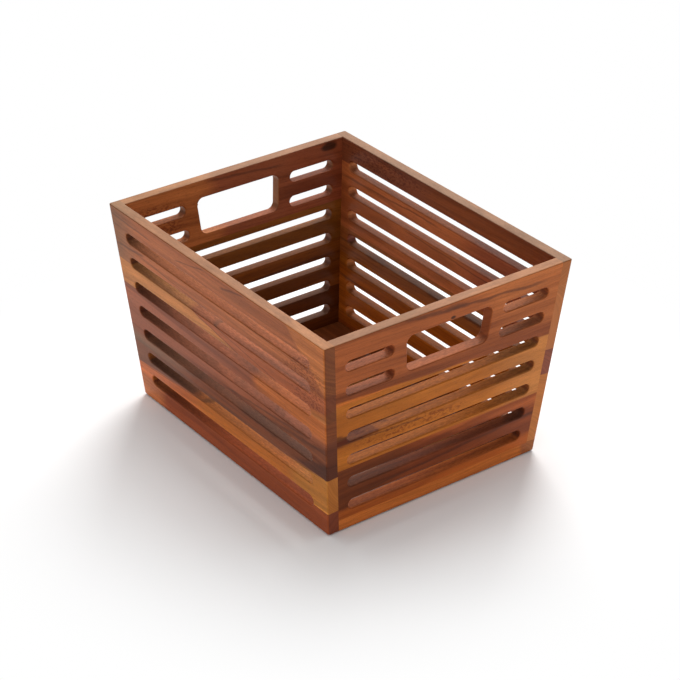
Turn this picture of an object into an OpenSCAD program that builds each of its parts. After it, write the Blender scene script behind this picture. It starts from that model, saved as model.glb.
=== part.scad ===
// Slatted wooden crate with leaning walls, made of edge-glued staves.
// The origin is at the middle of the foot, X runs along the crate, Z is up.
// A wall is measured down its slope from the rim, on its outer face.

/* [Crate] */
// Outside length at the rim
crate_l = 380; // [320:1:480]
// Outside width at the rim
crate_w = 307; // [260:1:400]
// Height from the foot to the rim
crate_h = 229; // [180:1:300]
// Outward lean of the four walls in degrees
wall_lean = 5.2; // [2:0.1:8]
// Thickness of the wall boards
wall_t = 12.5; // [10:0.5:16]
// Radius along the outer bottom edges
foot_round = 4; // [1:0.5:5]

/* [Slots] */
// Height of a slot
slot_h = 12; // [8:0.5:14]
// Distance from the rim to the centre line of the first row
first_row = 29.5; // [26:0.5:36]
// Distance between the centre lines of two rows
row_pitch = 28.4; // [26:0.1:36]
// Least distance from the centre line of the last row to the bottom
last_row_land = 26; // [26:0.5:36]
// Wood between the tip of a slot and the outer corner of the crate
corner_land = 25; // [20:0.1:40]

/* [Hand holes] */
// Width of a hand hole at its upper edge
hole_w = 107; // [80:1:130]
// Height of a hand hole
hole_h = 41.5; // [30:0.5:48]
// Distance from the rim to the upper edge of a hand hole
hole_top = 21; // [18:0.5:30]
// Radius in the corners of a hand hole
hole_round = 8; // [3:0.5:12]
// Wood between a hand hole and the short slots beside it
hole_land = 15.5; // [10:0.1:24]

/* [Base] */
// Thickness of the base boards
base_t = 9; // [7:0.5:14]
// Height of the underside of the base above the foot
base_lift = 1.5; // [0.5:0.5:4]
// Thickness of the tongue round the base
tongue_t = 4.5; // [3:0.5:6]
// Length of the tongue inside the groove of the walls
tongue_l = 5; // [3:0.5:6]

/* [Dowels] */
// Diameter of the corner dowels
dowel_d = 6; // [4:0.5:8]
// Length of the dowels in the side walls
dowel_out = 8; // [5:0.5:9]
// Length of the dowels in the end walls
dowel_in = 20; // [12:1:28]

/* [Fits] */
// Free space over and beyond the tongue in its groove
groove_play = 0.3; // [0.1:0.1:0.8]
// Free space between the base below its tongue and the walls
base_play = 0.3; // [0.1:0.1:0.8]
// Free space round a dowel in its bore
dowel_play = 0.05; // [0.05:0.05:0.2]
// Free space at each end of a dowel
dowel_room = 0.6; // [0.2:0.1:0.8]

/* [Hidden] */
// Widths of the staves of each wall from the rim down, as parts of its height
front_parts = [26.5, 12.5, 30.5, 18.5, 12];
back_parts = [12, 33, 13, 35.5, 6.5];
right_parts = [32, 34.5, 27, 6.5];
left_parts = [31.5, 19.5, 24.5, 24.5];
// Widths of the staves of the base from front to back, as parts of its width
base_parts = [18, 21, 24, 19, 18];

front_colours = ["#96614A", "#C08A55", "#94614D", "#B5763F", "#7E4630"];
back_colours = ["#7A4630", "#A4683F", "#7E4A40", "#8A4A26", "#A96B3C"];
right_colours = ["#96583A", "#B1702F", "#6E3625", "#A9652F"];
left_colours = ["#8A5424", "#9A6236", "#6B3A20", "#5C3A1E"];
base_colours = ["#8A5730", "#9E6A3C", "#7A4A2A", "#A87645", "#8E5A34"];
dowel_colour = "#D2B48C";

// Length of a wall from rim to foot down its slope
slope_l = crate_h / cos(wall_lean);
// How much narrower the outside gets on each side for each millimetre of slope
taper = sin(wall_lean);
// Wall thickness as a level cut shows it
level_t = wall_t / cos(wall_lean);
row_count = floor((slope_l - first_row - last_row_land) / row_pitch) + 1;
base_top = base_lift + base_t;
tongue_z = base_top - tongue_t;
// Lands between two rows that hold a dowel: the first, the middle and the last
dowel_lands = [0, floor(row_count / 2), row_count - 2];
// How far a blank or a cutter runs past the face that trims it
past = 1;
// Reach of a blank that is trimmed on every side
reach = 2 * (crate_l + crate_w + crate_h);
// Seams fall on whole steps of this size, so that neighbours share one plane
seam_step = 0.01;

staves = [
    for (i = [1:len(front_parts)]) str("front_stave_", i),
    for (i = [1:len(back_parts)]) str("back_stave_", i),
    for (i = [1:len(right_parts)]) str("right_stave_", i),
    for (i = [1:len(left_parts)]) str("left_stave_", i),
    for (i = [1:len(base_parts)]) str("base_stave_", i)
];
$fn = 72;

// Sum of the first n values of a list
function sum_of(list, n) = n == 0 ? 0 : list[n - 1] + sum_of(list, n - 1);
// Place of seam n in a panel that starts at first, seam 0 being its first edge
function seam(parts, n, first, width) =
    seam_step * round((first + width * sum_of(parts, n) / sum_of(parts, len(parts))) / seam_step);
// Half the outside length at a distance down the slope
function half_at(half_rim, down) = half_rim - down * taper;
// Half the inside length at a height, with the walls moved out by grow
function inner_half(half_rim, z, grow) =
    half_rim - (crate_h - z) * tan(wall_lean) - level_t + grow / cos(wall_lean);
function row_at(row) = first_row + row * row_pitch;
function land_at(land) = row_at(land + 0.5);
// Half the width of a hand hole at a distance down the slope
function hole_half(down) = hole_w / 2 - (down - hole_top) * taper;
function beside_hole(down) =
    down + slot_h / 2 > hole_top - hole_land
    && down - slot_h / 2 < hole_top + hole_h + hole_land;

// Puts a side wall, drawn flat with X along it, Y up it and its outer face at 0, in place
module side_place(side) {
    rotate([0, 0, side > 0 ? 180 : 0])
        translate([0, -crate_w / 2, crate_h])
            rotate([90 + wall_lean, 0, 0])
                children();
}

// Puts an end wall, drawn flat in the same way, in place
module end_place(side) {
    rotate([0, 0, side > 0 ? 90 : -90])
        translate([0, -crate_l / 2, crate_h])
            rotate([90 + wall_lean, 0, 0])
                children();
}

// Runs an upright outline along Y
module along_y() {
    rotate([90, 0, 0])
        linear_extrude(height = reach, center = true)
            children();
}

// Runs an upright outline along X
module along_x() {
    rotate([90, 0, 90])
        linear_extrude(height = reach, center = true)
            children();
}

// Upright outline between two opposite walls, with their inner faces moved out by grow
module outline(half_rim, grow, z_low, z_high) {
    low = inner_half(half_rim, z_low, grow);
    high = inner_half(half_rim, z_high, grow);
    polygon([[-low, z_low], [low, z_low], [high, z_high], [-high, z_high]]);
}

// Level slice between the four walls, with their inner faces moved out by grow
module slice(grow, z_low, z_high) {
    intersection() {
        along_y() outline(crate_l / 2, grow, z_low, z_high);
        along_x() outline(crate_w / 2, grow, z_low, z_high);
    }
}

// What the rounding takes off the bottom edges of two opposite walls
module foot_corners(half_rim) {
    foot = inner_half(half_rim, 0, wall_t);
    out = [cos(wall_lean), -sin(wall_lean)];
    centre = [
        inner_half(half_rim, foot_round, wall_t) - foot_round / cos(wall_lean), foot_round
    ];
    flank = centre + foot_round * out;
    for (side = [0, 1])
        mirror([side, 0])
            difference() {
                polygon([
                    centre, [centre[0], -past], [foot + past, -past], flank + past * out, flank
                ]);
                translate(centre)
                    circle(r = foot_round);
            }
}

// Outer form of the whole crate
module crate_form() {
    difference() {
        slice(wall_t, 0, crate_h);
        along_y() foot_corners(crate_l / 2);
        along_x() foot_corners(crate_w / 2);
    }
}

// Slot with round ends between two tips
module slot(left, right, down) {
    radius = slot_h / 2;
    translate([left + radius, -down - radius])
        square([right - left - slot_h, slot_h]);
    for (x = [left + radius, right - radius])
        translate([x, -down])
            circle(r = radius);
}

// Hand hole with slanting sides and round corners
module hand_hole() {
    slant = atan(taper);
    inset = hole_round / cos(slant);
    high = [hole_half(hole_top + hole_round) - inset, -hole_top - hole_round];
    low = [hole_half(hole_top + hole_h - hole_round) - inset, hole_round - hole_top - hole_h];
    flank = hole_round * [cos(slant), -sin(slant)];
    half_outline = [
        [high[0], -hole_top], high + flank, low + flank, [low[0], -hole_top - hole_h]
    ];
    polygon(concat(half_outline, [for (i = [3:-1:0]) [-half_outline[i][0], half_outline[i][1]]]));
    for (corner = [high, low], x = [-corner[0], corner[0]])
        translate([x, corner[1]])
            circle(r = hole_round);
}

// Openings of a side wall
module side_openings() {
    for (row = [0:row_count - 1]) {
        tip = half_at(crate_l / 2, row_at(row)) - corner_land;
        slot(-tip, tip, row_at(row));
    }
}

// Openings of an end wall: the slots beside the hand hole stop short of it
module end_openings() {
    hand_hole();
    for (row = [0:row_count - 1]) {
        down = row_at(row);
        tip = half_at(crate_w / 2, down) - corner_land;
        inner_tip = hole_half(down) + hole_land;
        if (beside_hole(down)) {
            slot(-tip, -inner_tip, down);
            slot(inner_tip, tip, down);
        } else {
            slot(-tip, tip, down);
        }
    }
}

// Flat blank of one stave, longer than the wall and proud of its outer face and ends
module stave_blank(parts, i) {
    upper = i == 0 ? -past : seam(parts, i, 0, slope_l);
    lower = i == len(parts) - 1 ? ceil(slope_l) + past : seam(parts, i + 1, 0, slope_l);
    translate([-reach / 2, -lower, -wall_t])
        cube([reach, lower - upper, wall_t + past]);
}

// Cutter through a wall for the openings drawn flat
module through_wall() {
    translate([0, 0, -wall_t - past])
        linear_extrude(height = wall_t + 2 * past)
            children();
}

// One dowel at each end of a side wall in each land that holds one, grown for its bore
module side_dowels(grow, room) {
    for (land = dowel_lands, end = [-1, 1]) {
        // The dowel lies midway in the end wall, level with the middle of its own length there
        rise = (wall_t + dowel_in / 2) * sin(wall_lean);
        fall = land_at(land) * cos(wall_lean) - rise;
        x = crate_l / 2 - fall * tan(wall_lean) - level_t / 2;
        translate([end * x, -land_at(land), -wall_t - dowel_in - room])
            cylinder(d = dowel_d + 2 * grow, h = dowel_in + dowel_out + 2 * room);
    }
}

// All corner dowels, or their bores
module dowel_set(grow, room) {
    for (side = [-1, 1])
        side_place(side) side_dowels(grow, room);
}

// Groove round the inside of the walls for the tongue of the base
module base_groove() {
    slice(tongue_l + groove_play, tongue_z, base_top + groove_play);
}

// One stave of a side wall, which runs the full length of the crate
module side_stave(side, parts, i) {
    difference() {
        intersection() {
            side_place(side) stave_blank(parts, i);
            crate_form();
        }
        side_place(side) through_wall() side_openings();
        dowel_set(dowel_play, dowel_room);
        base_groove();
    }
}

// One stave of an end wall, which fits between the side walls
module end_stave(side, parts, i) {
    difference() {
        intersection() {
            end_place(side) stave_blank(parts, i);
            crate_form();
            along_x() outline(crate_w / 2, 0, -past, crate_h + past);
        }
        end_place(side) through_wall() end_openings();
        dowel_set(dowel_play, dowel_room);
        base_groove();
    }
}

module front_stave(i) {
    color(front_colours[i]) side_stave(-1, front_parts, i);
}

module back_stave(i) {
    color(back_colours[i]) side_stave(1, back_parts, i);
}

module right_stave(i) {
    color(right_colours[i]) end_stave(1, right_parts, i);
}

module left_stave(i) {
    color(left_colours[i]) end_stave(-1, left_parts, i);
}

// Base with its tongue, which rests on the lower face of the groove
module base_panel() {
    slice(tongue_l, tongue_z, base_top);
    slice(-base_play, base_lift, tongue_z);
}

module base_stave(i) {
    half = inner_half(crate_w / 2, base_top, tongue_l);
    first = i == 0 ? -ceil(half) - past : seam(base_parts, i, -half, 2 * half);
    last = i == len(base_parts) - 1 ? ceil(half) + past : seam(base_parts, i + 1, -half, 2 * half);
    color(base_colours[i])
        intersection() {
            base_panel();
            translate([-reach / 2, first, 0])
                cube([reach, last - first, crate_h]);
        }
}

module corner_dowels() {
    color(dowel_colour) dowel_set(0, 0);
}

for (i = [0:len(front_parts) - 1])
    front_stave(i);
for (i = [0:len(back_parts) - 1])
    back_stave(i);
for (i = [0:len(right_parts) - 1])
    right_stave(i);
for (i = [0:len(left_parts) - 1])
    left_stave(i);
for (i = [0:len(base_parts) - 1])
    base_stave(i);
corner_dowels();
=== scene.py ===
import math

import bmesh
import bpy
from mathutils import Matrix, Vector


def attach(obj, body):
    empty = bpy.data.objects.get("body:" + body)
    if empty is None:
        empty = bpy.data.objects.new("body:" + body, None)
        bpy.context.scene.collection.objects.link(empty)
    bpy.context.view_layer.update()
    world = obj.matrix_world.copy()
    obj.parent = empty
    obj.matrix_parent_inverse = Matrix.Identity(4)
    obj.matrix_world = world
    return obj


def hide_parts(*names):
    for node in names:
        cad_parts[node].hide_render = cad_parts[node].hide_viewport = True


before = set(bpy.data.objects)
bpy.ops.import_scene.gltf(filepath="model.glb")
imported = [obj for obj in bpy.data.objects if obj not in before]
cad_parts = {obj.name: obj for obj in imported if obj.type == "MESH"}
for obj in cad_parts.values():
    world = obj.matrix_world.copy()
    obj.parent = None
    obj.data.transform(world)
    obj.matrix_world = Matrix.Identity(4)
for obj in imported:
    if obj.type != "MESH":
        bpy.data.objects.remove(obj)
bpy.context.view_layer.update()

mm = 0.001

# Sizes of the crate, the same as the part's own, in metres and degrees
crate = {
    "rimLength": 380 * mm,
    "rimWidth": 307 * mm,
    "height": 229 * mm,
    "lean": 5.2,
    "board": 12.5 * mm,
    "footRound": 4 * mm,
    "edgeRound": 1.4 * mm,
}
slots = {
    "height": 12 * mm,
    "firstRow": 29.5 * mm,
    "rowPitch": 28.4 * mm,
    "rows": 7,
    "rowsBesideHole": 2,
    "cornerLand": 25 * mm,
    "facets": 36,  # a multiple of four
}
handHole = {
    "width": 107 * mm,
    "height": 41.5 * mm,
    "top": 21 * mm,
    "round": 8 * mm,
    "land": 15.5 * mm,
}
baseGroove = {"low": 6 * mm, "high": 10.8 * mm, "depth": 5.3 * mm}

# Edges sharper than the angle are eased, the foot's in full and the others in part. The groove's edges stay
# sharp. The foot's are those below a level that reach out nearly to the foot's outline.
easing = {
    "angle": 50,
    "footLevel": 0.5 * mm,
    "footReach": 0.97,
    "grooveMargin": 1 * mm,
    "segments": 4,
    "shadedSharp": 38,
}
cutterPast = 10 * mm  # how far the cutter of the inside reaches past rim and foot
sawGap = 0.01 * mm
sawTolerance = 0.0001 * mm
seedSteps = (7.31, 3.17, 5.73)  # how far apart two seeds lie in a noise

lean = math.radians(crate["lean"])
slope = crate["height"] / math.cos(lean)


class Wire:
    # An output socket that takes part in plain Python sums
    def __init__(self, graph, socket):
        self.graph = graph
        self.socket = socket

    def __add__(self, other):
        return self.graph.sum("ADD", self, other)

    def __radd__(self, other):
        return self.graph.sum("ADD", other, self)

    def __sub__(self, other):
        return self.graph.sum("SUBTRACT", self, other)

    def __rsub__(self, other):
        return self.graph.sum("SUBTRACT", other, self)

    def __mul__(self, other):
        return self.graph.sum("MULTIPLY", self, other)

    def __rmul__(self, other):
        return self.graph.sum("MULTIPLY", other, self)

    def __truediv__(self, other):
        return self.graph.sum("DIVIDE", self, other)

    def __rtruediv__(self, other):
        return self.graph.sum("DIVIDE", other, self)

    def __gt__(self, other):
        return self.graph.sum("GREATER_THAN", self, other)

    def __lt__(self, other):
        return self.graph.sum("LESS_THAN", self, other)

    def output(self, name):
        return Wire(self.graph, self.socket.node.outputs[name])


class Graph:
    # Makes nodes in one tree, for Geometry Nodes and for materials
    def __init__(self, tree):
        self.tree = tree

    def node(self, kind, settings=None, inputs=None, out=0):
        made = self.tree.nodes.new(kind)
        for key, value in (settings or {}).items():
            setattr(made, key, value)
        for key, value in (inputs or {}).items():
            for one in value if isinstance(value, list) else [value]:
                self.feed(made.inputs[key], one)
        return Wire(self, made.outputs[out]) if len(made.outputs) else made

    def feed(self, socket, value):
        if isinstance(value, Wire):
            self.tree.links.new(value.socket, socket)
        else:
            socket.default_value = value

    def isVector(self, value):
        if isinstance(value, Wire):
            return value.socket.type in ("VECTOR", "RGBA")
        return isinstance(value, tuple)

    def sum(self, operation, first, second):
        if not (self.isVector(first) or self.isVector(second)):
            return self.node("ShaderNodeMath", {"operation": operation}, {0: first, 1: second})
        if operation == "MULTIPLY" and not self.isVector(second):
            return self.node("ShaderNodeVectorMath", {"operation": "SCALE"}, {0: first, "Scale": second})
        return self.node("ShaderNodeVectorMath", {"operation": operation}, {0: first, 1: second})

    def length(self, vector):
        return self.node("ShaderNodeVectorMath", {"operation": "LENGTH"}, {0: vector}, out="Value")

    def dot(self, first, second):
        inputs = {0: first, 1: second}
        return self.node("ShaderNodeVectorMath", {"operation": "DOT_PRODUCT"}, inputs, out="Value")

    def maths(self, operation, first, second=0.0):
        return self.node("ShaderNodeMath", {"operation": operation}, {0: first, 1: second})

    def split(self, vector):
        parts = self.node("ShaderNodeSeparateXYZ", {}, {0: vector})
        return parts, parts.output("Y"), parts.output("Z")

    def join(self, x, y, z):
        return self.node("ShaderNodeCombineXYZ", {}, {"X": x, "Y": y, "Z": z})

    def mix(self, factor, first, second, blend="MIX"):
        settings = {"data_type": "RGBA", "blend_type": blend}
        return self.node("ShaderNodeMix", settings, {0: factor, 6: first, 7: second}, out=2)

    def tint(self, colour, by):
        return self.mix(1.0, colour, by, "MULTIPLY")

    def step(self, value, low, high):
        settings = {"interpolation_type": "SMOOTHSTEP"}
        return self.node("ShaderNodeMapRange", settings, {"Value": value, "From Min": low, "From Max": high})

    def noise(self, vector, stretch, seed, detail, roughness):
        # Each seed shows another place of the same noise
        offset = tuple(seed * step for step in seedSteps)
        settings = {"operation": "MULTIPLY_ADD"}
        shifted = self.node("ShaderNodeVectorMath", settings, {0: vector, 1: stretch, 2: offset})
        return self.node(
            "ShaderNodeTexNoise", {},
            {"Vector": shifted, "Scale": 1.0, "Detail": detail, "Roughness": roughness},
        )


print("crate: walls, slots and hand holes in Geometry Nodes")

# Named inputs of the tree and what they hold
treeInputs = {
    "Rim Length": crate["rimLength"],
    "Rim Width": crate["rimWidth"],
    "Height": crate["height"],
    "Lean": lean,
    "Board": crate["board"],
    "Edge Round": crate["edgeRound"],
    "Foot Round": crate["footRound"],
    "Slot Height": slots["height"],
    "First Row": slots["firstRow"],
    "Row Pitch": slots["rowPitch"],
    "Rows": slots["rows"],
    "Rows Beside Hole": slots["rowsBesideHole"],
    "Corner Land": slots["cornerLand"],
    "Hole Width": handHole["width"],
    "Hole Height": handHole["height"],
    "Hole Top": handHole["top"],
    "Hole Round": handHole["round"],
    "Hole Land": handHole["land"],
    "Groove Low": baseGroove["low"],
    "Groove High": baseGroove["high"],
    "Groove Depth": baseGroove["depth"],
}


def openTree():
    tree = bpy.data.node_groups.new("slottedCrate", "GeometryNodeTree")
    tree.is_modifier = True
    face = tree.interface
    face.new_socket(name="Geometry", in_out="INPUT", socket_type="NodeSocketGeometry")
    for name, value in treeInputs.items():
        kind = "NodeSocketInt" if isinstance(value, int) else "NodeSocketFloat"
        face.new_socket(name=name, in_out="INPUT", socket_type=kind)
    face.new_socket(name="Wood", in_out="INPUT", socket_type="NodeSocketMaterial")
    face.new_socket(name="Geometry", in_out="OUTPUT", socket_type="NodeSocketGeometry")
    return tree


def leaningBlock(g, size, inset, low, high):
    # Block between two levels, with its four sides parallel to the walls
    cube = g.node("GeometryNodeMeshCube")
    x, y, z = g.split(g.node("GeometryNodeInputPosition"))
    level = (z + 0.5) * (high - low) + low
    fall = (size["Height"] - level) * g.maths("TANGENT", size["Lean"]) + inset
    place = g.join(x * (size["Rim Length"] - fall * 2), y * (size["Rim Width"] - fall * 2), level)
    return g.node("GeometryNodeSetPosition", {}, {"Geometry": cube, "Position": place})


def roundBar(g, size, radius):
    # Bar through the middle of a wall whose flats touch the radius, with no corner on its middle lines
    halfStep = math.pi / slots["facets"]
    bar = g.node(
        "GeometryNodeMeshCylinder", {"fill_type": "NGON"},
        {"Vertices": slots["facets"], "Radius": radius / math.cos(halfStep), "Depth": size["Board"] * 2},
    )
    middle = g.join(0.0, 0.0, size["Board"] * -0.5)
    inputs = {"Geometry": bar, "Translation": middle, "Rotation": (0.0, 0.0, halfStep)}
    return g.node("GeometryNodeTransform", {}, inputs)


def slotRows(g, size, first, count, halfRim, besideHole):
    # A row's bar is pulled apart to the two tips of its slot
    taper = g.maths("SINE", size["Lean"])
    radius = size["Slot Height"] / 2
    start = size["First Row"] + size["Row Pitch"] * first
    line = g.node(
        "GeometryNodeMeshLine", {"mode": "OFFSET"},
        {"Count": count, "Start Location": g.join(0.0, start * -1, 0.0),
         "Offset": g.join(0.0, size["Row Pitch"] * -1, 0.0)},
    )
    pointY = g.split(g.node("GeometryNodeInputPosition"))[1]
    outer = halfRim + pointY * taper - size["Corner Land"]
    inner = outer * -1
    if besideHole:
        inner = size["Hole Width"] / 2 + (pointY + size["Hole Top"]) * taper + size["Hole Land"]
    for name, value in (("outerTip", outer), ("innerTip", inner)):
        line = g.node(
            "GeometryNodeStoreNamedAttribute", {"data_type": "FLOAT", "domain": "POINT"},
            {"Geometry": line, "Name": name, "Value": value},
        )
    bars = g.node("GeometryNodeInstanceOnPoints", {}, {"Points": line, "Instance": roundBar(g, size, radius)})
    bars = g.node("GeometryNodeRealizeInstances", {}, {"Geometry": bars})
    x = g.split(g.node("GeometryNodeInputPosition"))[0]
    tips = [
        g.node("GeometryNodeInputNamedAttribute", {"data_type": "FLOAT"}, {"Name": name})
        for name in ("innerTip", "outerTip")
    ]
    toRight = x > 0.0
    shift = toRight * (tips[1] - radius) + (1 - toRight) * (tips[0] + radius)
    return g.node("GeometryNodeSetPosition", {}, {"Geometry": bars, "Offset": g.join(shift, 0.0, 0.0)})


def holeBar(g, size):
    # The hand hole's bar is pulled apart to its four corners
    taper = g.maths("SINE", size["Lean"])
    radius = size["Hole Round"]
    x, y = g.split(g.node("GeometryNodeInputPosition"))[:2]
    toRight, upper = x > 0.0, y > 0.0
    fall = (1 - upper) * (size["Hole Height"] - radius * 2) + radius
    side = size["Hole Width"] / 2 - fall * taper - radius
    offset = g.join(side * (toRight * 2 - 1), (fall + size["Hole Top"]) * -1, 0.0)
    bar = roundBar(g, size, radius)
    return g.node("GeometryNodeSetPosition", {}, {"Geometry": bar, "Offset": offset})


def mirrored(g, shape):
    turned = g.node("GeometryNodeTransform", {}, {"Geometry": shape, "Scale": (-1.0, 1.0, 1.0)})
    turned = g.node("GeometryNodeFlipFaces", {}, {"Mesh": turned})
    return g.node("GeometryNodeJoinGeometry", {}, {"Geometry": [shape, turned]})


def standUp(g, size, shape, halfDepth, turn):
    # From the flat drawing to a wall and to the wall across from it
    tilt = g.join(size["Lean"] + math.pi / 2, 0.0, 0.0)
    stood = g.node(
        "GeometryNodeTransform", {},
        {"Geometry": shape, "Translation": g.join(0.0, halfDepth * -1, size["Height"]), "Rotation": tilt},
    )
    both = [
        g.node("GeometryNodeTransform", {}, {"Geometry": stood, "Rotation": (0.0, 0.0, turn + half)})
        for half in (0.0, math.pi)
    ]
    return g.node("GeometryNodeJoinGeometry", {}, {"Geometry": both})


def cut(g, shape, cutters):
    settings = {"operation": "DIFFERENCE", "solver": "EXACT"}
    return g.node("GeometryNodeMeshBoolean", settings, {"Mesh 1": shape, "Mesh 2": cutters})


def easedEdges(g, size, shape):
    # Bevel weights: the foot's outer edges in full, the other outside edges in part
    x, y, z = g.split(g.node("GeometryNodeInputPosition"))
    angle = g.node("GeometryNodeInputMeshEdgeAngle").output("Signed Angle")
    outside = angle > math.radians(easing["angle"])
    fall = size["Height"] * g.maths("TANGENT", size["Lean"])
    reachX = g.maths("ABSOLUTE", x) / (size["Rim Length"] / 2 - fall)
    reachY = g.maths("ABSOLUTE", y) / (size["Rim Width"] / 2 - fall)
    foot = (z < easing["footLevel"]) * (g.maths("MAXIMUM", reachX, reachY) > easing["footReach"])
    margin = easing["grooveMargin"]
    inGroove = (z > size["Groove Low"] - margin) * (z < size["Groove High"] + margin)
    small = size["Edge Round"] / size["Foot Round"]
    weight = outside * (1 - inGroove) * (foot * (1 - small) + small)
    return g.node(
        "GeometryNodeStoreNamedAttribute", {"data_type": "FLOAT", "domain": "EDGE"},
        {"Geometry": shape, "Name": "bevel_weight_edge", "Value": weight},
    )


def fillTree(tree):
    g = Graph(tree)
    entry = g.node("NodeGroupInput")
    size = {name: entry.output(name) for name in treeInputs}
    level = size["Board"] / g.maths("COSINE", size["Lean"])
    grooveInset = level - size["Groove Depth"] / g.maths("COSINE", size["Lean"])
    solid = leaningBlock(g, size, 0.0, 0.0, size["Height"])
    solid = cut(g, solid, leaningBlock(g, size, level, -cutterPast, size["Height"] + cutterPast))
    solid = cut(g, solid, leaningBlock(g, size, grooveInset, size["Groove Low"], size["Groove High"]))
    halfLength, halfWidth = size["Rim Length"] / 2, size["Rim Width"] / 2
    short = size["Rows Beside Hole"]
    sideRows = slotRows(g, size, 0.0, size["Rows"], halfLength, False)
    endRows = slotRows(g, size, short, size["Rows"] - short, halfWidth, False)
    shortRows = mirrored(g, slotRows(g, size, 0.0, short, halfWidth, True))
    ends = g.node("GeometryNodeJoinGeometry", {}, {"Geometry": [endRows, shortRows, holeBar(g, size)]})
    solid = cut(g, solid, standUp(g, size, sideRows, halfWidth, 0.0))
    solid = cut(g, solid, standUp(g, size, ends, halfLength, math.pi / 2))
    solid = easedEdges(g, size, solid)
    solid = g.node("GeometryNodeRealizeInstances", {}, {"Geometry": solid})
    solid = g.node("GeometryNodeSetMaterial", {}, {"Geometry": solid, "Material": entry.output("Wood")})
    tree.links.new(solid.socket, g.node("NodeGroupOutput").inputs[0])


def plainMesh(piece, name):
    # The evaluated shape as a mesh of its own, without modifiers
    graph = bpy.context.evaluated_depsgraph_get()
    mesh = bpy.data.meshes.new_from_object(piece.evaluated_get(graph))
    mesh.name = name
    return mesh


def makeWalls():
    blank = bpy.data.objects.new("crateBlank", bpy.data.meshes.new("crateBlank"))
    bpy.context.scene.collection.objects.link(blank)
    tree = openTree()
    fillTree(tree)
    modifier = blank.modifiers.new("slots", "NODES")
    modifier.node_group = tree
    for item in tree.interface.items_tree:
        if item.in_out == "INPUT" and item.name in treeInputs:
            modifier[item.identifier] = treeInputs[item.name]
    eased = blank.modifiers.new("eased", "BEVEL")
    eased.limit_method = "WEIGHT"
    eased.width = crate["footRound"]
    eased.segments = easing["segments"]
    eased.use_clamp_overlap = False
    mesh = plainMesh(blank, "crateWalls")
    bpy.data.objects.remove(blank)
    print("crate walls:", len(mesh.vertices), "vertices")
    return mesh


wallsMesh = makeWalls()

print("staves: the walls sawn along their glue lines")

# A wall has its turn round the crate, half the depth to it, and its staves as shares from the rim down. With
# a mirror of -1, places along it grow to the same side as on the wall across. Ledge is painted shade on its
# slots' ledges: from one place along the wall to another, in millimetres, their colour is multiplied from one
# strength to the next, darker where the crate shades them from the lamps and a little lighter on the left
# wall.
walls = {
    "front": {
        "turn": 0, "half": crate["rimWidth"] / 2, "mirror": 1,
        "shares": [26.5, 12.5, 30.5, 18.5, 12], "ledgeWithPaintedShade": (-170, 20, 0.5, 1.0),
    },
    "back": {
        "turn": 180, "half": crate["rimWidth"] / 2, "mirror": -1,
        "shares": [12, 33, 13, 35.5, 6.5], "ledgeWithPaintedShade": (-170, 170, 0.48, 0.56),
    },
    "right": {
        "turn": 90, "half": crate["rimLength"] / 2, "mirror": 1,
        "shares": [32, 34.5, 27, 6.5], "ledgeWithPaintedShade": (130, 20, 0.65, 0.95),
    },
    "left": {
        "turn": -90, "half": crate["rimLength"] / 2, "mirror": -1,
        "shares": [31.5, 19.5, 24.5, 24.5], "ledgeWithPaintedShade": (-170, 170, 1.05, 1.05),
    },
}


def wallPlace(wall):
    turned = Matrix.Rotation(math.radians(wall["turn"]), 4, "Z")
    moved = Matrix.Translation((0, -wall["half"], crate["height"]))
    return turned @ moved @ Matrix.Rotation(math.pi / 2 + lean, 4, "X")


def saw(solid, place, point, normal):
    # Keeps what lies behind the plane, given in the wall's flat drawing
    co = place @ Vector(point)
    no = place.to_3x3() @ Vector(normal)
    everything = solid.verts[:] + solid.edges[:] + solid.faces[:]
    bmesh.ops.bisect_plane(
        solid, geom=everything, dist=sawTolerance, plane_co=co, plane_no=no, clear_outer=True,
    )
    openEdges = [edge for edge in solid.edges if edge.is_boundary]
    bmesh.ops.holes_fill(solid, edges=openEdges, sides=0)


def wallSolid(name):
    solid = bmesh.new()
    solid.from_mesh(wallsMesh)
    innerFace = -crate["board"] - sawGap
    if name in ("front", "back"):
        saw(solid, wallPlace(walls[name]), (0, 0, innerFace), (0, 0, -1))
    else:
        for side in ("front", "back"):
            saw(solid, wallPlace(walls[side]), (0, 0, innerFace), (0, 0, 1))
        saw(solid, wallPlace(walls[name]), (0, 0, -crate["rimLength"] / 2), (0, 0, -1))
    return solid


def seams(wall):
    # Distances of the glue lines from the rim, to a hundredth of a millimetre as in the part
    total, run, places = sum(wall["shares"]), 0, []
    for share in wall["shares"]:
        run += share
        places.append(round(slope * run / total / mm, 2) * mm)
    return [0] + places


def finishStave(solid, name):
    mesh = bpy.data.meshes.new(name)
    bmesh.ops.recalc_face_normals(solid, faces=solid.faces[:])
    solid.to_mesh(mesh)
    openCount = sum(1 for edge in solid.edges if not edge.is_manifold)
    solid.free()
    if openCount:
        print("open edges on", name, openCount)
    mesh.shade_smooth()
    mesh.set_sharp_from_angle(angle=math.radians(easing["shadedSharp"]))
    piece = bpy.data.objects.new(name, mesh)
    bpy.context.scene.collection.objects.link(piece)
    weighted = piece.modifiers.new("flats", "WEIGHTED_NORMAL")
    weighted.keep_sharp = True
    flat = plainMesh(piece, name)
    piece.modifiers.remove(weighted)
    piece.data = flat
    for layer in ("bevel_weight_edge", "outerTip", "innerTip"):
        if layer in flat.attributes:
            flat.attributes.remove(flat.attributes[layer])
    return piece


def makeStaves():
    staves = {}
    for name, wall in walls.items():
        place = wallPlace(wall)
        whole = wallSolid(name)
        marks = seams(wall)
        for i in range(len(wall["shares"])):
            solid = whole.copy()
            if i > 0:
                saw(solid, place, (0, -marks[i], 0), (0, 1, 0))
            if i < len(wall["shares"]) - 1:
                saw(solid, place, (0, -marks[i + 1], 0), (0, -1, 0))
            staves[name, i + 1] = finishStave(solid, f"{name}Stave{i + 1}")
        whole.free()
    return staves


staves = makeStaves()

print("wood: one board of acacia for each stave")


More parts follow.
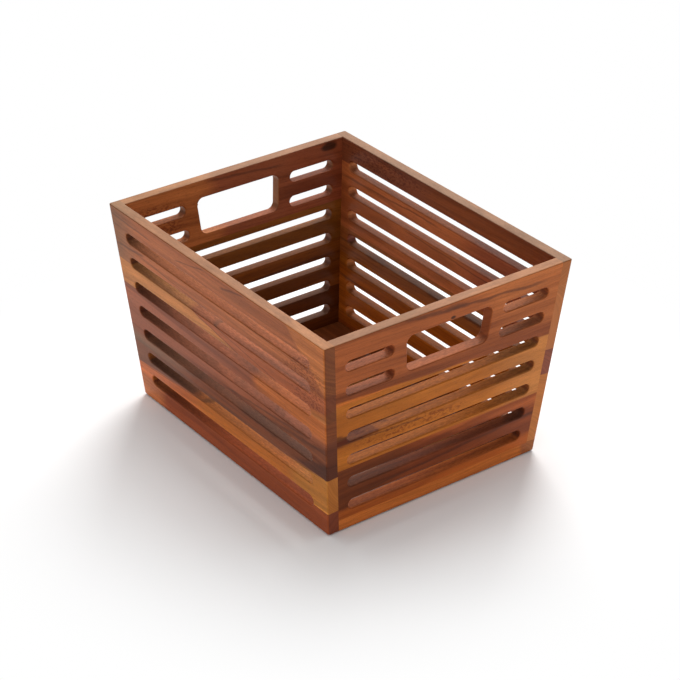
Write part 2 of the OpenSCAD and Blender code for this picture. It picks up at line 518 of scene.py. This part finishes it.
def tone(code):
    # A colour as a painter reads it, turned to what the shader takes
    values = [int(code[i:i + 2], 16) / 255 for i in (1, 3, 5)]
    return tuple(v / 12.92 if v < 0.04045 else ((v + 0.055) / 1.055) ** 2.4 for v in values) + (1.0,)


# Noises of the wood: repeats per millimetre along, up and into the board, then detail and roughness. Their
# seeds follow the board's own, in the order of this list.
patterns = {
    "drift": ((0.006, 0.02, 0.02), 1.0, 0.5),
    "band": ((1 / 330, 1 / 9, 0.02), 3.0, 0.55),
    "streak": ((1 / 75, 1 / 1.9, 0.05), 3.0, 0.6),
    "fibre": ((1 / 14, 1 / 0.45, 1 / 0.45), 2.0, 0.6),
    "pore": ((1 / 4.2, 1 / 0.42, 1 / 0.42), 1.0, 0.5),
    "wander": ((0.03, 0.09, 0.09), 3.0, 0.6),
    "curl": ((0.30, 0.55, 0.55), 2.0, 0.6),
    "ringLine": ((0.002, 0.5, 0.02), 2.0, 0.6),
    "grit": ((0.22, 0.8, 0.8), 2.0, 0.6),
}
seedsPerBoard = 11

# Where each mask sets in and where it is full. Faces and edges go by the cosine of their turn, and the rim by
# millimetres down from it.
limits = {
    "band": (0.30, 0.68), "curl": (0.46, 0.60), "pore": (0.60, 0.72),
    "endFace": (0.55, 0.9), "routedFace": (0.5, 0.9), "belowRim": (1.0, 3.0),
    "edgeStart": (0.10, 0.40), "edgeEnd": (0.60, 0.90),
}

# What all boards share: lengths in millimetres, tones that are mixed in or multiplied, and their strengths
wood = {
    "driftUp": 16, "driftDepth": 5, "ringDepth": 0.3,
    "darkBand": (0.70, 0.62, 0.56, 1.0), "lightBand": (1.17, 1.15, 1.12, 1.0),
    "veinTone": (0.07, 0.025, 0.014, 1.0), "vein": 0.75, "veinLeast": 0.25, "veinStreak": 0.9,
    "veinWander": 1.5, "veinCore": 0.2, "veinFade": (0.38, 0.55),
    "patchWander": 0.5, "patchFade": (0.45, 1.0),
    "knotTone": (0.022, 0.009, 0.005, 1.0), "knot": 0.85,
    "speckleTone": (0.50, 0.36, 0.33, 1.0), "speckle": 0.8,
    "poreTone": (0.42, 0.36, 0.34, 1.0), "pore": 0.55,
    "streakShade": 0.85, "fibreShade": 0.6,
    "end": 0.75, "endRings": 0.7, "endFibre": 0.4,
    "rimTone": (0.288, 0.182, 0.111, 1.0), "rim": 0.65, "rimGrit": 0.5, "rimWander": 0.4,
    # The ledge tone and dust pale the routed faces, partly as paler routed wood and partly as a painted sheen
    "ledgeTone": (0.50, 0.33, 0.24, 1.0), "dustAndSheen": 0.12, "ledgeGrit": 1.1,
    # The edge tone darkens the eased edges that face upwards: painted shade
    "edgeShadeTone": (0.35, 0.28, 0.25, 1.0), "edge": 0.5,
    "roughness": 0.38, "roughStreak": 0.12, "roughPore": 0.12, "roughRouted": 0.3,
    "coat": 0.10, "routedCoat": 0.02, "coatRoughness": 0.28, "specular": 0.06,
    "highFibre": 0.5, "highStreak": 0.3, "deepPore": 0.8, "highGrit": 1.2,
    "bump": 0.25, "bumpHeight": 0.15 * mm,
}

# A board's own looks. s is the place along the wall and h the distance down from the rim, in millimetres. A
# zone of colour lies on the right-hand side of each of its lines s1, h1, s2, h2, seen along the line with h
# running down: below a line that runs to the right and above one that runs to the left. A vein is such a
# line and its width. A knot or a speckled patch is an oval, with its middle and two reaches. Tilt and pith
# turn and place the growth rings. Ledge is painted shade that darkens or lightens the board's ledges, and
# dust pales them, partly as paler routed wood and partly as a painted sheen.
boards = {
    ("front", 1): {
        "tone": "#B16436", "end": "#5A2E1E", "tilt": 0.02, "pith": (60, -70),
        "zones": [
            {"tone": "#8C5A39", "lines": [(-150, -90, -165, 300)], "soft": 30},
            {"tone": "#CB793F", "lines": [(190, 62, 130, 3)], "soft": 2, "wobble": 3},
        ],
        "veins": [(-190, 9, -110, 13, 1.6), (-190, 45, -130, 39, 1.8), (-68, 16, -12, 3, 1.2),
                  (15, 11, 58, 3, 2.2), (-160, 41, 60, 56, 0.8)],
        "speckle": (150, 52, 42, 34),
    },
    ("front", 2): {
        "tone": "#B8653A", "end": "#5A2E1E", "tilt": -0.05, "pith": (-40, -60), "ledgeWithPaintedShade": 0.85, "dustAndSheen": 0.2,
        "zones": [
            {"tone": "#CE8546", "lines": [(-45, 65, 70, 86)], "soft": 1.5, "wobble": 2},
            {"tone": "#BA7039", "lines": [(120, 90, 190, 76)], "soft": 3, "wobble": 3},
        ],
        "veins": [(-45, 64, 70, 85, 0.9), (-20, 62, 110, 80, 0.8)],
        "speckle": (155, 68, 34, 20),
    },
    ("front", 3): {
        "tone": "#9B5637", "end": "#5A2E1E", "tilt": 0.04, "pith": (120, -50), "ledgeWithPaintedShade": 0.95,
        "zones": [
            {"tone": "#CC7336", "lines": [(40, 300, 60, 90), (190, 112, 30, 104)], "soft": 8, "wobble": 6},
            {"tone": "#7C563F", "lines": [(-190, 148, 0, 150), (-10, 90, -30, 190)], "soft": 8, "wobble": 8},
            {"tone": "#7E4427", "lines": [(-60, 150, 60, 128), (60, 128, 190, 118)], "soft": 7, "wobble": 8},
            {"tone": "#593122", "lines": [(120, 158, 190, 139)], "soft": 5, "wobble": 4},
        ],
        "veins": [(-80, 152, 190, 124, 3.5), (0, 134, 150, 122, 2.0), (20, 150, 190, 146, 4)],
    },
    ("front", 4): {
        "tone": "#D97F32", "end": "#A8622C", "tilt": -0.07, "pith": (-150, -90), "ledgeWithPaintedShade": 0.9,
        "zones": [
            {"tone": "#D4743D", "lines": [(-50, 90, -70, 300)], "soft": 25},
            {"tone": "#DD9241", "lines": [(125, 300, 105, 90)], "soft": 18, "wobble": 5},
            {"tone": "#855036", "lines": [(178, 159, -178, 187)], "soft": 1.2, "wobble": 0.8},
        ],
        "veins": [(-175, 188, 178, 160, 0.9)],
    },
    ("front", 5): {
        "tone": "#9D4C26", "end": "#703828", "tilt": 0.03, "pith": (-240, -40), "ledgeWithPaintedShade": 1.0, "dustAndSheen": 0.04,
        "zones": [{"tone": "#BE6E3E", "lines": [(-118, 190, -138, 240)], "soft": 9, "wobble": 8}],
    },
    ("right", 1): {
        "tone": "#A3572B", "end": "#8A4A2C", "tilt": 0.03, "pith": (50, -60),
        "zones": [
            {"tone": "#B76835", "lines": [(75, 60, 55, 30)], "soft": 22, "wobble": 10},
            {"tone": "#894621", "lines": [(-160, 60, 160, 64)], "soft": 5, "wobble": 5},
            {"tone": "#B86426", "lines": [(-150, 68.5, 140, 84)], "soft": 1.2, "wobble": 1.5},
        ],
        "veins": [(-60, 2, 20, 8, 3.5), (-10, 7, 120, 15, 2.6)],
        "knot": (2.5, 17.5, 4, 2.4),
    },
    ("right", 2): {
        "tone": "#BD6E25", "end": "#8A4A2C", "tilt": 0.02, "pith": (-110, -70), "ledgeWithPaintedShade": 0.85, "dustAndSheen": 0.05,
        "zones": [
            {"tone": "#C27B3D", "lines": [(90, 160, 60, 60)], "soft": 30},
            {"tone": "#682C11", "lines": [(-150, 114, -60, 112), (-60, 121, -150, 124), (-66, 90, -86, 140)],
             "soft": 3, "wobble": 4},
            {"tone": "#8D4823", "lines": [(140, 84, -150, 68.5)], "soft": 1.2, "wobble": 1.5},
        ],
        "veins": [(-140, 112, -60, 118, 3.0), (-130, 121, -20, 127, 1.4)],
        "speckle": (-40, 128, 90, 9),
    },
    ("right", 3): {
        "tone": "#87411E", "end": "#5E3020", "tilt": -0.05, "pith": (-230, -60), "ledgeWithPaintedShade": 0.9, "dustAndSheen": 0.05,
        "zones": [
            {"tone": "#713718", "lines": [(-40, 160, -70, 215)], "soft": 22, "wobble": 12},
            {"tone": "#AC5929", "lines": [(160, 172, 0, 156)], "soft": 4, "wobble": 6},
            {"tone": "#AA5620", "lines": [(-160, 204, 150, 200)], "soft": 4, "wobble": 4},
        ],
        "veins": [(-100, 190, 140, 176, 2.2)],
    },
    ("right", 4): {
        "tone": "#BB682B", "end": "#7A4426", "tilt": 0.02, "pith": (-290, -50), "ledgeWithPaintedShade": 0.6, "dustAndSheen": 0.04,
        "zones": [{"tone": "#99562E", "lines": [(118, 240, 112, 210)], "soft": 3, "wobble": 3}],
    },
    ("back", 1): {
        "tone": "#834523", "end": "#B86E39", "tilt": 0.0, "pith": (70, -60), "dustAndSheen": 0.04,
        "zones": [{"tone": "#7F452B", "lines": [(-20, -10, -40, 40)], "soft": 20, "wobble": 10}],
        "speckle": (-100, 12, 90, 14),
    },
    ("back", 2): {
        "tone": "#AE6236", "end": "#C07640", "tilt": 0.02, "pith": (-80, -60), "dustAndSheen": 0.04,
        "zones": [{"tone": "#8F4B2E", "lines": [(60, 120, 40, 20)], "soft": 30}],
        "veins": [(-180, 44, 0, 40, 1.8), (-60, 66, 120, 70, 1.4)],
    },
    ("back", 3): {
        "tone": "#97582A", "end": "#854639", "tilt": -0.02, "pith": (-180, -50), "dustAndSheen": 0.04,
        "veins": [(-180, 118, 100, 122, 3.0)],
    },
    ("back", 4): {
        "tone": "#A05A18", "end": "#C0763C", "tilt": 0.03, "pith": (-260, -70), "dustAndSheen": 0.04,
        "zones": [{"tone": "#AB5C19", "lines": [(-190, 150, 190, 141)], "soft": 6, "wobble": 5}],
        "veins": [(-180, 160, 150, 170, 2.2)],
    },
    ("back", 5): {"tone": "#8B4416", "end": "#A05E32", "tilt": 0.02, "pith": (-300, -60)},
    ("left", 1): {
        "tone": "#84472C", "end": "#8A5424", "tilt": 0.05, "pith": (40, -60),
        "zones": [
            {"tone": "#A15E31", "lines": [(-45, -20, -20, 90)], "soft": 16, "wobble": 12},
            {"tone": "#844429", "lines": [(60, 90, 70, -10)], "soft": 14, "wobble": 10},
        ],
        "veins": [(-40, 4, 60, 12, 2.0)],
        "knot": (122, 7.5, 13, 6),
        "speckle": (-110, 35, 50, 30),
    },
    ("left", 2): {"tone": "#7F4B19", "end": "#7A4426", "tilt": 0.03, "pith": (-110, -50),
                  "veins": [(-60, 84, 120, 92, 2.2)]},
    ("left", 3): {"tone": "#713C12", "end": "#7A4426", "tilt": -0.02, "pith": (-190, -50),
                  "veins": [(-100, 140, 120, 132, 2.2)]},
    ("left", 4): {"tone": "#562A0E", "end": "#7A4426", "tilt": 0.02, "pith": (-270, -50)},
}


def pattern(g, name, place, seed):
    # One of the noises above
    stretch, detail, roughness = patterns[name]
    return g.noise(place, stretch, seed + list(patterns).index(name), detail, roughness)


def swing(noise, amount):
    # Noise lies about a half, and this swings about nought
    return (noise - 0.5) * amount


def besideLine(grain, line):
    # A measure that grows to the right-hand side of a line, and its value on the line
    s1, h1, s2, h2 = line
    length = math.hypot(s2 - s1, h2 - h1)
    aside = grain["down"] * ((s2 - s1) / length) - grain["along"] * ((h2 - h1) / length)
    return aside, (h1 * (s2 - s1) - s1 * (h2 - h1)) / length


def zoneMask(g, grain, zone):
    # 1 on the right-hand side of each line, with a soft and wandering edge
    mask = None
    for line in zone["lines"]:
        aside, offset = besideLine(grain, line)
        if "wobble" in zone:
            aside = aside + grain["wander"] * zone["wobble"]
        side = g.step(aside, offset - zone["soft"], offset + zone["soft"])
        mask = side if mask is None else mask * side
    return mask


def veinMask(g, grain, vein):
    # 1 along a thin line that wanders, comes and goes with the streaks and fades at its ends
    s1, h1, s2, h2, width = vein
    aside, offset = besideLine(grain, (s1, h1, s2, h2))
    aside = aside + grain["wander"] * (width * wood["veinWander"])
    thin = 1 - g.step(g.maths("ABSOLUTE", aside - offset), width * wood["veinCore"], width)
    fadeStart, fadeEnd = (abs(s2 - s1) * share for share in wood["veinFade"])
    near = 1 - g.step(g.maths("ABSOLUTE", grain["along"] - (s1 + s2) / 2), fadeStart, fadeEnd)
    return thin * near * (grain["streak"] * wood["veinStreak"] + wood["veinLeast"])


def patchMask(g, grain, patch):
    # 1 inside an oval, fading out to its edge
    s, h, reachS, reachH = patch
    distance = g.length(g.join((grain["along"] - s) / reachS, (grain["down"] - h) / reachH, 0.0))
    return 1 - g.step(distance + grain["wander"] * wood["patchWander"], *wood["patchFade"])


def grainOf(g, board, look, seed):
    # Growth rings round a pith outside the board, drifting along it, and the finer marks
    along, up, depth = g.split(board)
    drift = pattern(g, "drift", board, seed) - 0.5
    pithUp, pithDepth = look["pith"]
    ringUp = up + along * look["tilt"] + drift * wood["driftUp"] - pithUp
    ringDepth = depth + drift * wood["driftDepth"] - pithDepth
    rings = g.join(along, g.length(g.join(0.0, ringUp, ringDepth)), depth * wood["ringDepth"])
    grain = {"along": along, "down": up * -1}
    for name in ("band", "streak", "ringLine"):
        grain[name] = pattern(g, name, rings, seed)
    for name in ("fibre", "grit") + (("curl",) if "speckle" in look else ()):
        grain[name] = pattern(g, name, board, seed)
    grain["wander"] = (pattern(g, "wander", board, seed) - 0.5) * 2
    grain["pores"] = g.step(pattern(g, "pore", board, seed), *limits["pore"])
    return grain


def sawnColour(g, grain, look):
    # The broad faces: zones, veins and knot, then bands, curls, streaks and pores over them
    colour = tone(look["tone"])
    for zone in look.get("zones", []):
        colour = g.mix(zoneMask(g, grain, zone), colour, tone(zone["tone"]))
    for vein in look.get("veins", []):
        colour = g.mix(veinMask(g, grain, vein) * wood["vein"], colour, wood["veinTone"])
    if "knot" in look:
        colour = g.mix(patchMask(g, grain, look["knot"]) * wood["knot"], colour, wood["knotTone"])
    darker, lighter = g.tint(colour, wood["darkBand"]), g.tint(colour, wood["lightBand"])
    colour = g.mix(g.step(grain["band"], *limits["band"]), darker, lighter)
    if "speckle" in look:
        mask = patchMask(g, grain, look["speckle"]) * g.step(grain["curl"], *limits["curl"])
        colour = g.mix(mask * wood["speckle"], colour, g.tint(colour, wood["speckleTone"]))
    shade = swing(grain["streak"], wood["streakShade"]) + swing(grain["fibre"], wood["fibreShade"]) + 1.0
    colour = colour * shade
    return g.mix(grain["pores"] * wood["pore"], colour, g.tint(colour, wood["poreTone"]))


def endColour(g, grain, look, colour):
    # End grain shows its rings
    shade = swing(grain["ringLine"], wood["endRings"]) + swing(grain["fibre"], wood["endFibre"]) + 1.0
    return g.mix(wood["end"], colour, tone(look["end"])) * shade


def rimColour(g, grain, colour):
    shade = swing(grain["grit"], wood["rimGrit"]) + grain["wander"] * wood["rimWander"] + 1.0
    return g.mix(wood["rim"], colour, wood["rimTone"]) * shade


def ledgeColour(g, grain, place, look, colour):
    # The routed faces of slots and hand holes: paled towards the ledge tone, partly as paler routed wood and
    # partly as a painted sheen, and given painted shade along the wall and from board to board
    start, end, low, high = place["ledgeWithPaintedShade"]
    # Painted shade: darker where the crate shades the ledges from the lamps
    paintedLight = g.step(grain["along"], start, end) * (high - low) + low
    dustAndSheenLedge = g.mix(look.get("dustAndSheen", wood["dustAndSheen"]), colour, wood["ledgeTone"])
    return dustAndSheenLedge * (paintedLight * look.get("ledgeWithPaintedShade", 1.0)) * (swing(grain["grit"], wood["ledgeGrit"]) + 1.0)


def acacia(name, place, look, seed):
    material = bpy.data.materials.new(name)
    material.use_nodes = True
    g = Graph(material.node_tree)
    objectPlace = g.node("ShaderNodeTexCoord", out="Object")
    inputs = {"Vector": objectPlace, **place["mapping"]}
    board = g.node("ShaderNodeMapping", {"vector_type": "TEXTURE"}, inputs)
    grain = grainOf(g, board, look, seed)
    colour = sawnColour(g, grain, look)

    # Masks of the end faces, of the rim and ledges, and of the eased edges that face upwards beside them,
    # which are darkened as painted shade
    normal = g.node("ShaderNodeNewGeometry").output("Normal")
    upward = g.dot(normal, place["up"])
    endFace = g.step(g.maths("ABSOLUTE", g.dot(normal, place["along"])), *limits["endFace"])
    routed = g.step(g.maths("ABSOLUTE", upward), *limits["routedFace"])
    paintedEdgeShade = g.step(upward, *limits["edgeStart"]) * (1 - g.step(upward, *limits["edgeEnd"]))

    colour = g.mix(endFace, colour, endColour(g, grain, look, colour))
    # The ledges' colour carries painted shade and a painted sheen
    rim, ledgeWithPaintedShade = rimColour(g, grain, colour), ledgeColour(g, grain, place, look, colour)
    colour = g.mix(routed, colour, g.mix(g.step(grain["down"], *limits["belowRim"]), rim, ledgeWithPaintedShade))
    # Painted shade: the eased edges that face upwards are darkened
    colour = g.mix(paintedEdgeShade * wood["edge"], colour, g.tint(colour, wood["edgeShadeTone"]))

    rough = swing(grain["streak"], wood["roughStreak"]) + grain["pores"] * wood["roughPore"]
    rough = rough + routed * wood["roughRouted"] + wood["roughness"]
    height = grain["fibre"] * wood["highFibre"] + grain["streak"] * wood["highStreak"]
    height = height - grain["pores"] * wood["deepPore"] + grain["grit"] * (routed * wood["highGrit"])
    inputs = {"Strength": wood["bump"], "Distance": wood["bumpHeight"], "Height": height}

    shader = material.node_tree.nodes["Principled BSDF"]
    g.feed(shader.inputs["Base Color"], colour)
    g.feed(shader.inputs["Roughness"], rough)
    g.feed(shader.inputs["Normal"], g.node("ShaderNodeBump", {}, inputs))
    g.feed(shader.inputs["Coat Weight"], routed * (wood["routedCoat"] - wood["coat"]) + wood["coat"])
    shader.inputs["Coat Roughness"].default_value = wood["coatRoughness"]
    shader.inputs["Specular IOR Level"].default_value = wood["specular"]
    return material


def wallMapping(wall):
    turned = Matrix.Rotation(math.radians(wall["turn"]), 3, "Z")
    whole = wallPlace(wall).to_3x3()
    return {
        "mapping": {
            "Location": tuple(turned @ Vector((0, -wall["half"], crate["height"]))),
            "Rotation": (math.pi / 2 + lean, 0.0, math.radians(wall["turn"])),
            "Scale": (mm * wall["mirror"], mm, mm),
        },
        "along": tuple(whole @ Vector((1, 0, 0))),
        "up": tuple(whole @ Vector((0, 1, 0))),
        # The painted shade along the wall's ledges
        "ledgeWithPaintedShade": wall["ledgeWithPaintedShade"],
    }


seed = 1
for (wallName, number), piece in staves.items():
    node = f"{wallName}_stave_{number}"
    look = boards[wallName, number]
    piece.data.materials.clear()
    piece.data.materials.append(acacia(node, wallMapping(walls[wallName]), look, seed))
    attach(piece, "root")
    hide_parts(node)
    seed += seedsPerBoard

print("base and dowels: the part's own shapes with wood on them")

baseBoards = {
    "tones": ["#663414", "#70401F", "#5A2C12", "#74441C", "#623218"],
    "tilt": 0.02,
    "firstPith": 120,
    "pithStep": -60,
    "pithDepth": -60,
}
dowelWood = {"tone": "#C9A676", "end": "#B9946A", "tilt": 0.0, "pith": (300, -200)}
levelPlace = {
    "mapping": {"Location": (0.0, 0.0, 0.0), "Rotation": (0.0, 0.0, 0.0), "Scale": (mm, mm, mm)},
    "along": (1.0, 0.0, 0.0),
    "up": (0.0, 1.0, 0.0),
    # No painted shade: the ledges keep their full strength
    "ledgeWithPaintedShade": (0, 1, 1, 1),
}
for i, code in enumerate(baseBoards["tones"]):
    pith = (baseBoards["firstPith"] + baseBoards["pithStep"] * i, baseBoards["pithDepth"])
    look = {"tone": code, "end": code, "tilt": baseBoards["tilt"] * (-1) ** i, "pith": pith}
    node = f"base_stave_{i + 1}"
    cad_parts[node].data.materials[0] = acacia(node, levelPlace, look, seed)
    seed += seedsPerBoard
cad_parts["corner_dowels"].data.materials[0] = acacia("dowel", levelPlace, dowelWood, seed)

print("studio: floor, lamps and camera")

# Lamps: place, edge and power, aimed at one point. The fill is the even light from all round. Between the two
# radii of the shadow the floor turns plain white.
studio = {
    "lamps": {
        "overhead": ((-0.20, 0.15, 1.70), 1.3, 12.0),
        "behind": ((-1.08, 1.13, 1.20), 1.0, 33.0),
    },
    "aim": (0, 0, 0.1),
    "fill": 0.56,
    "white": (1.0, 1.0, 1.0, 1.0),
    "floorTone": (0.92, 0.92, 0.92, 1.0),
    "floorReach": 8.0,
    "floorLevel": -0.2 * mm,
    "shadow": (0.22, 0.47),
}


def makeFloor():
    mesh = bpy.data.meshes.new("floor")
    reach = studio["floorReach"]
    corners = [(-reach, -reach), (reach, -reach), (reach, reach), (-reach, reach)]
    mesh.from_pydata([(x, y, studio["floorLevel"]) for x, y in corners], [], [(0, 1, 2, 3)])
    floor = bpy.data.objects.new("floor", mesh)
    bpy.context.scene.collection.objects.link(floor)
    material = bpy.data.materials.new("floor")
    material.use_nodes = True
    nodes = material.node_tree.nodes
    nodes.remove(nodes["Principled BSDF"])
    g = Graph(material.node_tree)
    # Near the crate the floor shows its shadow, farther out it fades to plain white
    far = g.step(g.length(g.node("ShaderNodeTexCoord", out="Object")), *studio["shadow"])
    seen = g.node("ShaderNodeLightPath").output("Is Camera Ray")
    matt = g.node("ShaderNodeBsdfDiffuse", {}, {"Color": studio["floorTone"]})
    plain = g.node("ShaderNodeEmission", {}, {"Color": studio["white"], "Strength": 1.0})
    mixed = g.node("ShaderNodeMixShader", {}, {0: seen * far, 1: matt, 2: plain})
    g.feed(nodes["Material Output"].inputs["Surface"], mixed)
    mesh.materials.append(material)


def makeWorld():
    # The camera, mirrors and glass see plain white, and the crate gets the fill
    world = bpy.data.worlds.new("studio")
    bpy.context.scene.world = world
    world.use_nodes = True
    g = Graph(world.node_tree)
    rays = g.node("ShaderNodeLightPath")
    shown = g.maths("MAXIMUM", rays, rays.output("Is Glossy Ray"))
    shown = g.maths("MAXIMUM", shown, rays.output("Is Transmission Ray"))
    background = world.node_tree.nodes["Background"]
    g.feed(background.inputs["Strength"], shown * (1 - studio["fill"]) + studio["fill"])
    background.inputs["Color"].default_value = studio["white"]


def makeLamps():
    for name, (place, size, power) in studio["lamps"].items():
        lamp = bpy.data.lights.new(name, "AREA")
        lamp.shape = "SQUARE"
        lamp.size = size
        lamp.energy = power
        holder = bpy.data.objects.new(name, lamp)
        bpy.context.scene.collection.objects.link(holder)
        holder.location = place
        aim = Vector(studio["aim"]) - holder.location
        holder.rotation_euler = aim.to_track_quat("-Z", "Y").to_euler()
        holder.visible_camera = False


# The photograph's viewpoint: angles in degrees, lens and sensor in millimetres, the rest in metres
view = {
    "azimuth": 53.381, "elevation": 29.817, "roll": 0.164,
    "lens": 120.659, "sensor": 36,
    "aside": 0.005242, "rise": 0.086924, "distance": 2.4341,
    "farthest": 100,
}


def makeCamera():
    azimuth, elevation, roll = (math.radians(view[k]) for k in ("azimuth", "elevation", "roll"))
    level = math.cos(elevation)
    back = Vector((math.sin(azimuth) * level, -math.cos(azimuth) * level, math.sin(elevation)))
    right = Vector((math.cos(azimuth), math.sin(azimuth), 0))
    up = back.cross(right)
    turnedRight = right * math.cos(roll) + up * math.sin(roll)
    turnedUp = up * math.cos(roll) - right * math.sin(roll)
    camera = bpy.data.cameras.new("camera")
    camera.lens = view["lens"]
    camera.sensor_width = view["sensor"]
    camera.clip_end = view["farthest"]
    holder = bpy.data.objects.new("camera", camera)
    bpy.context.scene.collection.objects.link(holder)
    place = Matrix((turnedRight, turnedUp, back)).transposed().to_4x4()
    place.translation = back * view["distance"] + turnedRight * view["aside"] + turnedUp * view["rise"]
    holder.matrix_world = place
    bpy.context.scene.camera = holder


makeFloor()
makeWorld()
makeLamps()
makeCamera()
bpy.context.scene.view_settings.view_transform = "Standard"
